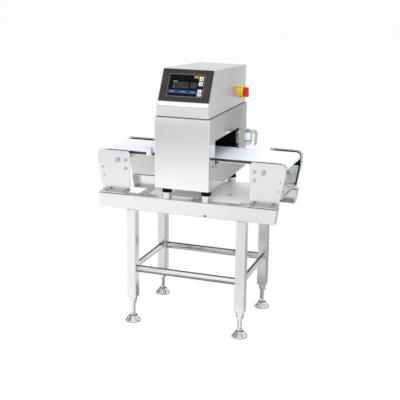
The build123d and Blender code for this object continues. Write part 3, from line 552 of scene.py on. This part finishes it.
# painted shade: the slider bed is coloured dark olive for the shade under the belt and in the tunnel
shaded_bed_plastic = moulded("shaded_bed_plastic", (0.085, 0.080, 0.066), 0.45, texture=250)
roller_plastic = moulded("roller_plastic", (0.75, 0.76, 0.77), 0.40)
housing_plastic = moulded("housing_plastic", (0.92, 0.95, 0.98), 0.30, texture=500, bump=0.06,
                          drift=0.04)
black_plate = moulded("black_plate", (0.004, 0.004, 0.004), 0.45, gloss=0.08)
black_rubber = moulded("black_rubber", (0.006, 0.006, 0.006), 0.60, texture=500, bump=0.3,
                       gloss=0.10)
bezel_sheet = moulded("bezel_sheet", (0.050, 0.044, 0.043), 0.34, texture=700, bump=0.12,
                      drift=0.25, gloss=0.2)
panel_frame = moulded("panel_frame", (0.046, 0.041, 0.040), 0.30, texture=600, bump=0.08,
                      drift=0.20, gloss=0.2)
yellow_plastic = moulded("yellow_plastic", (0.90, 0.60, 0.015), 0.30, texture=400, bump=0.08,
                         drift=0.18)
red_plastic = moulded("red_plastic", (0.62, 0.035, 0.02), 0.30, texture=400, bump=0.08,
                      drift=0.25)
board_laminate = moulded("board_laminate", (0.03, 0.20, 0.08), 0.35)
print("plastics and rubbers ready")

# %% [markdown]
# ## Glass, and the beacon's fixing
# The screen and the beacon's lens are smooth and glossy, with a faint film that makes them look
# touched. Real glass could be see-through, but nothing lies behind these that shows. The beacon
# hangs on a bright stud through a rubber ring. Both are one node, so one material changes from
# rubber to steel at the height where the stud begins.


# %% Glass of the screen and of the beacon
def clear_layer(name, colour, roughness, coat):
    """A smooth glossy surface under a coat, with a faint film on it."""
    material, tree, out = new_material(name)
    film = noise(tree, object_place(tree), scale=24.0, detail=4.0)
    deep = tuple(0.8 * v for v in colour)
    body = add(tree, "BsdfPrincipled", Coat_Weight=coat, Coat_Roughness=0.05,
               Specular_IOR_Level=0.12, Roughness=scaled(tree, film, 2 * roughness),
               Base_Color=ramp(tree, film, [(0.3, deep), (0.7, colour)]))
    put(tree, out.inputs[0], body.outputs[0])
    return material


screen_glass = clear_layer("screen_glass", (0.004, 0.005, 0.006), 0.12, coat=0.0)
beacon_glass = clear_layer("beacon_glass", (0.78, 0.88, 0.94), 0.10, coat=0.5)
print("glass ready")


# %% The beacon's stud and ring
def stud_and_ring(name, split):
    """Bright steel above a height, and grey rubber below it."""
    material, tree, out = new_material(name)
    place = object_place(tree)
    pits = noise(tree, place, scale=380.0, detail=3.0)
    bright = ramp(tree, pits, [(0.3, (0.62, 0.63, 0.62)), (0.7, (0.82, 0.83, 0.82))])
    grey = ramp(tree, pits, [(0.3, 0.20), (0.7, 0.28)])
    metal = add(tree, "BsdfPrincipled", Metallic=1.0, Base_Color=bright,
                Roughness=scaled(tree, pits, factor=0.5))
    rubber = add(tree, "BsdfPrincipled", Roughness=0.5, Specular_IOR_Level=0.2, Base_Color=grey)
    is_stud = math_node(tree, "GREATER_THAN", component(tree, place, "Z"), split)
    put(tree, out.inputs[0], mixed_shaders(tree, is_stud, rubber, metal).outputs[0])
    return material


stud_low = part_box("beacon_body")[0][2] + 0.001
beacon_fixing = stud_and_ring("beacon_fixing", stud_low)
print("rubber below", round(stud_low, 4))

# %% [markdown]
# ## Dressing the solids
# Each imported node names a finish in the record. Sixty lines could name a material for each node.
# A table from the record's finishes to the materials above dresses most of them in a third of
# that. A few parts share a steel in the record but are ground in another direction, or are given a
# darker copy of it as painted shade: the rear legs, the rear support plates and the bed's supports.
# So they are named one by one.

# %% Give every solid its finish
finish_of = {
    "head_steel": head_sheet, "frame_steel": plate_sheet, "bar_steel": polished_bar,
    "fastener_steel": bolt_metal, "foot_steel": foot_metal, "belt": belt_cover,
    "bed": shaded_bed_plastic, "white_plastic": roller_plastic, "black_plastic": black_plate,
    "black_rubber": black_rubber, "copper": copper_wire, "bezel": bezel_sheet,
    "panel": panel_frame, "screen": screen_glass, "yellow": yellow_plastic,
    "red": red_plastic, "circuit": board_laminate, "motor": motor_metal,
    "lens": beacon_glass,
}
own_finish = {
    "enclosure_cover": cover_sheet, "head_lid": cover_sheet, "beacon_bracket": cover_sheet,
    "front_rail": rail_sheet, "rear_rail": rail_sheet, "drip_trays": tray_sheet,
    "leg_front_left": tube_wall, "leg_front_right": tube_wall,
    "leg_rear_left": rear_shaded_tube, "leg_rear_right": rear_shaded_tube,
    "head_standoffs": spacer_metal, "leg_plugs": spacer_metal, "beacon_body": housing_plastic,
    "photo_sensor": housing_plastic, "flange_spacers": spacer_metal,
    "beacon_mount": beacon_fixing, "bed_supports": shaded_bed_bar, "stretchers": stretcher_tube,
    "support_plate_rear_left": rear_shaded_sheet, "support_plate_rear_right": rear_shaded_sheet,
}
for part in frame["record"]["subparts"]:
    name = part["node"]
    slots = nodes[name].data.materials
    slots.clear()
    slots.append(own_finish.get(name, finish_of[part["material_slot"]]))

# %% [markdown]
# ## What the screen shows
# A dark page with a list, a blue status bar and four white keys at the right. A picture mapped
# onto the glass would be the usual way. Here each mark is a thin rounded plate on the glass
# instead, because the part carries no image files, and because the marks stay sharp from close by.
# They are all placed on the sloping face: x runs across it, s up the slope, and out away from it.


# %% Places on the sloping face
def on_face(x, s, out):
    """A point on the sloping face, from millimetres across and up, and metres off it."""
    return fold + Vector((x / 1000, 0, 0)) + up_face * (s / 1000) + off_face * out


fold = Vector((0, -0.278, 1.039))        # where the upright strip meets the sloping face
face_top = Vector((0, -0.195, 1.194))    # where the sloping face would meet the top
up_face = (face_top - fold).normalized()
off_face = Vector((0, -up_face.z, up_face.y))
glass = 0.0037                           # the screen's surface off the face
print("slope", round(math.degrees(math.atan2(up_face.z, -off_face.y)), 1))


# %% Outlines and pieces
def rounded(x0, x1, s0, s1, corner, steps=5):
    """The outline of a rectangle with round corners, counter-clockwise."""
    outline = []
    centres = ((x1 - corner, s1 - corner), (x0 + corner, s1 - corner),
               (x0 + corner, s0 + corner), (x1 - corner, s0 + corner))
    for quarter, (x, s) in enumerate(centres):
        for step in range(steps + 1):
            angle = math.radians(90 * (quarter + step / steps))
            outline.append((x + corner * math.cos(angle), s + corner * math.sin(angle)))
    return outline


def finish_mesh(name, build, material, body):
    """Turns a bmesh into a named piece that rides on a body."""
    bmesh.ops.recalc_face_normals(build, faces=build.faces)
    mesh = bpy.data.meshes.new(name)
    build.to_mesh(mesh)
    build.free()
    mesh.materials.append(material)
    piece = bpy.data.objects.new(name, mesh)
    scene.collection.objects.link(piece)
    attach(piece, body)


print("points of a rounded outline", len(rounded(0, 10, 0, 10, 1)))


# %% Thin plates and frames
def join_points(build, ring, following):
    """Joins two closed rows of points with four-sided faces."""
    for n in range(len(ring)):
        m = (n + 1) % len(ring)
        build.faces.new((ring[n], ring[m], following[m], following[n]))


def add_plate(build, outline, low, high, place=on_face):
    """Adds a flat plate between two heights above the face."""
    bottom = [build.verts.new(place(x, s, low)) for x, s in outline]
    top = [build.verts.new(place(x, s, high)) for x, s in outline]
    build.faces.new(bottom)
    build.faces.new(top)
    join_points(build, bottom, top)


def add_frame(build, outer, inner, low, high, place=on_face):
    """Adds a flat frame between two outlines that have as many points as each other."""
    rings = [[build.verts.new(place(x, s, out)) for x, s in outline]
             for outline, out in ((outer, low), (outer, high), (inner, high), (inner, low))]
    for ring, following in zip(rings, rings[1:] + rings[:1]):
        join_points(build, ring, following)


print("plate helpers ready")


# %% Lit marks
def lit_mark(name, colour, glow=0.9):
    """A mark on the display: it gives its own light, a little uneven like a backlight."""
    material, tree, out = new_material(name)
    backlight = noise(tree, object_place(tree), scale=60.0, detail=2.0)
    dim = tuple(0.72 * v for v in colour)
    body = add(tree, "BsdfPrincipled", Base_Color=(0.01, 0.01, 0.01, 1), Roughness=0.3,
               Emission_Strength=glow,
               Emission_Color=ramp(tree, backlight, [(0.35, dim), (0.65, colour)]))
    put(tree, out.inputs[0], body.outputs[0])
    return material


def marks(name, rectangles, colour, corner=0.6, lift=0.00015, glow=0.9):
    """One piece of several lit marks, each given as x0, x1, s0, s1."""
    build = bmesh.new()
    for x0, x1, s0, s1 in rectangles:
        add_plate(build, rounded(x0, x1, s0, s1, corner), glass, glass + lift)
    finish_mesh(name, build, lit_mark(name + "_light", colour, glow), "machine")
    print(name, len(rectangles))


print("display helpers ready")

# %% The page and its keys
rows = (108, 97.6, 88)
key_left, key_right = 57, 76
keys = [(key_left, key_right, *key) for key in ((122, 142), (99, 118), (68, 83), (51, 66))]
key_middles = [(low + high) / 2 for _, _, low, high in keys]
on_top = 0.0003    # marks on other marks
marks("list_lines", [(-50, 12, s, s + 2.4) for s in rows], (0.16, 0.16, 0.13))
marks("list_fields", [(-50, 12, s - 4.2, s - 3.0) for s in rows], (0.045, 0.05, 0.06))
marks("list_bullets", [(-58, -54, s - 1, s + 3) for s in rows], (0.55, 0.60, 0.62))
marks("heading_tag", [(-60, -42, 113.5, 117.5)], (0.25, 0.50, 0.62), corner=1.2)
marks("status_bar", [(-78, 54, 60, 76)], (0.010, 0.060, 0.19), corner=1.0)
marks("status_values", [(-70, -48, 66, 71), (-20, 2, 66, 71), (26, 46, 66, 71)],
      (0.16, 0.42, 0.62), corner=1.5, lift=on_top)
marks("side_block", [(20, 50, 86, 112)], (0.035, 0.030, 0.032), corner=1.0)
marks("top_tag", [(32, 53, 133, 144)], (0.50, 0.46, 0.10), corner=1.0)
marks("keys", keys, (0.95, 0.95, 0.93), corner=1.5)
marks("key_signs", [(63.5, 69.5, s - 2, s + 2) for s in key_middles], (0.30, 0.27, 0.26),
      corner=1.0, lift=on_top)

# %% Outline round the screen
outer = rounded(-83.6, 83.6, 45.2, 150.6, corner=5)
inner = rounded(-82.4, 82.4, 46.4, 149.4, corner=4)
build = bmesh.new()
add_frame(build, outer, inner, low=0.004, high=0.00415)
line_paint = moulded("line_paint", (0.36, 0.34, 0.33), 0.4, texture=400, bump=0.05, drift=0.2)
finish_mesh("screen_outline", build, line_paint, "machine")
print("outline drawn")

# %% [markdown]
# ## The bare strip under the bezel
# A white strip is stuck on between the bezel and the fold. It is only a quarter of a millimetre
# thick, which is too thin for the solids and easy as one rounded plate. It is left bare.

# %% The white strip
build = bmesh.new()
add_plate(build, rounded(-117, 117, 2, 22.5, corner=1), low=0.0, high=0.00025)
strip_paint = moulded("strip_paint", (0.86, 0.87, 0.88), 0.3, texture=500, bump=0.04, drift=0.02)
finish_mesh("label_strip", build, strip_paint, "machine")
print("strip laid")

# %% [markdown]
# ## Small turned pieces
# Washers, the rubber under each foot and the seal round its neck are rings. A ring is a closed
# profile of a few points, turned round an axis in equal steps, which is what a lathe does. The
# thread on a foot's stem is a small ridge that climbs by one pitch with each turn. The Spin and
# Screw tools make both shapes by hand. Two short loops make them here, so that each size stays a
# number that can be changed. The pieces ride on the body that carries them, so a foot takes its
# own rings and thread along.


# %% Rings turned round an axis
def middle(node):
    """The centre of a node's box."""
    low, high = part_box(node)
    return (Vector(low) + Vector(high)) / 2


def join_rings(build, rings, closed):
    """Joins each ring of points to the next one, and the last to the first or closes the ends."""
    for ring, following in zip(rings, rings[1:] + rings[:1] if closed else rings[1:]):
        join_points(build, ring, following)
    if not closed:
        build.faces.new(rings[0])
        build.faces.new(rings[-1])


def add_turned(build, centre, profile, axis=2, steps=32):
    """Adds a closed profile of (radius, height), turned round the X, Y or Z axis."""
    rings = []
    for n in range(steps):
        angle = 2 * math.pi * n / steps
        ring = []
        for radius, height in profile:
            local = [radius * math.cos(angle), radius * math.sin(angle)]
            local.insert(axis, height)
            ring.append(build.verts.new(Vector(centre) + Vector(local)))
        rings.append(ring)
    join_rings(build, rings, True)


def add_thread(build, x, y, low, length):
    """Adds a ridge that climbs round an upright stem."""
    rings = []
    for n in range(round(length / pitch) * turn_steps):
        angle = 2 * math.pi * n / turn_steps
        height = low + pitch * n / turn_steps
        rings.append([build.verts.new((x + radius * math.cos(angle),
                                       y + radius * math.sin(angle), height + rise))
                      for radius, rise in ridge])
    join_rings(build, rings, False)


def washer(inner, outer, thickness):
    """The profile of a flat ring that stands on its plane."""
    return [(inner, 0), (outer, 0), (outer, thickness), (inner, thickness)]


pitch, turn_steps = 0.0025, 24
ridge = [(0.0098, -0.0006), (0.0102, 0.0), (0.0098, 0.0006), (0.0095, 0.0)]
print("pitch", pitch)

# %% Rubber rims, neck seals and threads of the feet
corners = ("front_left", "front_right", "rear_left", "rear_right")
rim, rim_low = washer(0.0350, 0.0365, 0.0022), 0.0002
seal, seal_low = washer(0.0150, 0.0182, 0.0014), 0.0255
thread_low, thread_length = 0.0450, 0.1225
for corner in corners:
    foot, carrier = "foot_" + corner, f"foot_{corner}_body"
    x, y, _ = middle("leg_" + corner)
    build = bmesh.new()
    add_turned(build, (x, y, rim_low), rim, steps=48)
    finish_mesh(foot + "_rim", build, black_rubber, carrier)
    build = bmesh.new()
    add_turned(build, (x, y, seal_low), seal, steps=36)
    finish_mesh(foot + "_seal", build, black_rubber, carrier)
    build = bmesh.new()
    add_thread(build, x, y, thread_low, thread_length)
    finish_mesh(foot + "_thread", build, bolt_metal, carrier)
    print(foot, "at", round(x, 4), round(y, 4))

# %% Washers under the bolts
plate_thickness, plate_face = 0.004, 0.167    # the plates' outer faces from the conveyor's line
line_y = middle("belt").y
corner_x = middle("leg_rear_right").x
corner_y = middle("leg_rear_right").y - line_y
flange_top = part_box("flange_spacers")[1][2] + plate_thickness
tray_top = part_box("drip_trays")[1][2]
# Each bolt of a support plate, as its x, its height and its washer's outer radius.
bolts = ((0.3455, 0.760, 0.0122), (0.3055, 0.761, 0.0082), (0.3055, 0.723, 0.0082))
tray_bolt_y, tray_bolt_xs, flange_bolt_xs = -0.099, (-0.176, -0.004, 0.168), (0.305, 0.390)
hole, washer_thickness = 0.005, 0.0012
flat_washer = washer(hole, 0.0088, washer_thickness)

places = [(x, tray_bolt_y, tray_top) for x in tray_bolt_xs]
build = bmesh.new()
for end in (-1, 1):
    for side in (-1, 1):
        for x, z, outer in bolts:
            outward = [(r, side * h) for r, h in washer(hole, outer, washer_thickness)]
            add_turned(build, (end * x, line_y + side * plate_face, z), outward, axis=1)
        places += [(end * x, line_y + side * corner_y, flange_top) for x in flange_bolt_xs]
for place in places:
    add_turned(build, place, flat_washer)
finish_mesh("washers", build, spacer_metal, "machine")
print("washers", 4 * len(bolts) + len(places))

# %% [markdown]
# ## Weld beads
# Tubes that meet are welded all round. A bead is a thin roll along the joint, thicker and thinner
# in small even ripples where the welder paused. Its steel has a straw colour from the heat. A bump
# in the tube's material would show the ripples, but not the bead's own outline. So the outline of
# the tube is walked in short steps, and each step gets a small ring of points.


# %% Beads along the joints
def walk(outline, step):
    """Points along a closed outline, so far apart."""
    points = []
    for here, following in zip(outline, outline[1:] + outline[:1]):
        count = max(1, round(math.dist(here, following) / step))
        for n in range(count):
            part = n / count
            points.append(tuple(a + part * (b - a) for a, b in zip(here, following)))
    return points


def add_bead(build, centre, outline, axis, thickness):
    """Adds a rippled bead round an outline that lies across an axis."""
    along = Vector([float(n == axis) for n in range(3)])
    rings = []
    for n, place in enumerate(walk(outline, bead_step)):
        flat = list(place)
        flat.insert(axis, 0.0)
        outward = Vector(flat).normalized()
        radius = thickness * (1 + ripple * math.sin(ripple_turn * n))
        rings.append([build.verts.new(Vector(centre) + Vector(flat)
                                      + radius * (math.cos(a) * outward + math.sin(a) * along))
                      for a in (math.radians(45 * eighth) for eighth in range(8))])
    join_rings(build, rings, True)


bead_step = 0.0012
ripple, ripple_turn = 0.20, 1.9    # share of the bead's radius, and radians from step to step
weld_metal = turned_steel("weld_metal", (0.78, 0.73, 0.62), 0.32, soften=0.0003, patchy=0.40)
print("a step of a bead", bead_step)

# %% Welds of the stand
leg_half, leg_corner = 0.0225, 0.004
set_in = 0.0022    # of the bead on the leg's outer side, to stay within the rail's face
tube_z, tube_half = middle("stretchers").z, 0.0171    # half the tube's width on its edge
rail_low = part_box("front_rail")[0][2]
diamond = [(tube_half, 0.0), (0.0, tube_half), (-tube_half, 0.0), (0.0, -tube_half)]
on_stretchers, on_legs = bmesh.new(), bmesh.new()
for end in (-1, 1):
    for side in (-1, 1):
        x, y = end * corner_x, line_y + side * corner_y
        for axis, centre in enumerate(((x - end * leg_half, y), (x, y - side * leg_half))):
            add_bead(on_stretchers, (*centre, tube_z), diamond, axis, thickness=0.0014)
        low, high = sorted((-side * leg_half, side * (leg_half - set_in)))
        leg_outline = rounded(-leg_half, leg_half, low, high, leg_corner, steps=3)
        add_bead(on_legs, (x, y, rail_low), leg_outline, axis=2, thickness=0.0013)
finish_mesh("stretcher_welds", on_stretchers, weld_metal, "machine")
finish_mesh("leg_welds", on_legs, weld_metal, "machine")
print("beads at heights", round(tube_z, 3), round(rail_low, 3))

# %% [markdown]
# ## The sensor's lamp and screw
# The light barrier that starts each measurement has a small green lamp and a brass adjusting screw
# on its outer face. They could be spots of colour in the sensor's material. Discs a few
# millimetres wide, turned as the washers are, stand off the face as the real ones do.

# %% The sensor's lamp and screw
eye_low, eye_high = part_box("photo_sensor")
eye_x, eye_face, signal_z = middle("photo_sensor").x, eye_low[1], eye_high[2] - 0.006
signal_apart = 0.0045    # from the middle of the face
lamp_dome = [(0.0002, 0), (0.0013, 0), (0.0011, -0.0004), (0.0002, -0.0006)]
screw_head = [(0.0002, 0), (0.0016, 0), (0.0016, -0.0004), (0.0013, -0.0006), (0.0002, -0.0006)]
build = bmesh.new()
add_turned(build, (eye_x - signal_apart, eye_face, signal_z), lamp_dome, axis=1, steps=20)
green_lamp = lit_mark("green_lamp", (0.04, 0.35, 0.08), glow=0.5)
finish_mesh("sensor_lamp", build, green_lamp, "machine")
build = bmesh.new()
add_turned(build, (eye_x + signal_apart, eye_face, signal_z), screw_head, axis=1, steps=20)
dark_brass = turned_steel("dark_brass", (0.40, 0.33, 0.20), 0.3)
finish_mesh("sensor_screw", build, dark_brass, "machine")
print("sensor face", round(eye_face, 4))

# %% [markdown]
# ## Padlock slots of the main switch
# The yellow plate of such a switch has slots for padlocks in its rim, and a raised white line on
# the handle's tip shows which way it points. Slots could be cut with a boolean, but the solids
# stay as they are packed. So each slot is a dark plate bent round the rim, a painted shadow for the
# shade inside the slot: its outline is measured along the rim, and each point goes to its own angle.


# %% Slots and pointer
def on_rim(x, arc, out):
    """A point on the rim, from millimetres off the cover and along the rim from its front."""
    angle = arc / 1000 / rim_radius
    radius = rim_radius + out
    return Vector((cover_side + x / 1000, switch_y - radius * math.cos(angle),
                   switch_z + radius * math.sin(angle)))


def on_grip(y, z, out):
    """A point on the outer end of the handle, from millimetres off its middle."""
    return Vector((grip_end + out, switch_y + y / 1000, switch_z + z / 1000))


switch_turn = next(joint for joint in frame["joints"] if joint["name"] == "main_switch_turn")
_, switch_y, switch_z = switch_turn["pos_m"]
cover_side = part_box("enclosure_cover")[1][0]
rim_radius = 0.028
slot_arcs, slot_half = (-24, 0, 24), 3.5
sunk = 0.0004    # how far the plates reach into what they lie on
grip_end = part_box("switch_handle")[1][0] - sunk
build = bmesh.new()
# painted shadow: dark plates where the slots' hollows would be
for arc in slot_arcs:
    slot = rounded(5, 10, arc - slot_half, arc + slot_half, corner=2)
    add_plate(build, slot, low=-sunk, high=0.0002, place=on_rim)
finish_mesh("padlock_slot_shadows", build, black_rubber, "machine")
build = bmesh.new()
add_plate(build, rounded(-1.2, 1.2, 4, 18, corner=1), low=0.0, high=sunk, place=on_grip)
finish_mesh("pointer_line", build, strip_paint, "handle")
print("slots", len(slot_arcs))
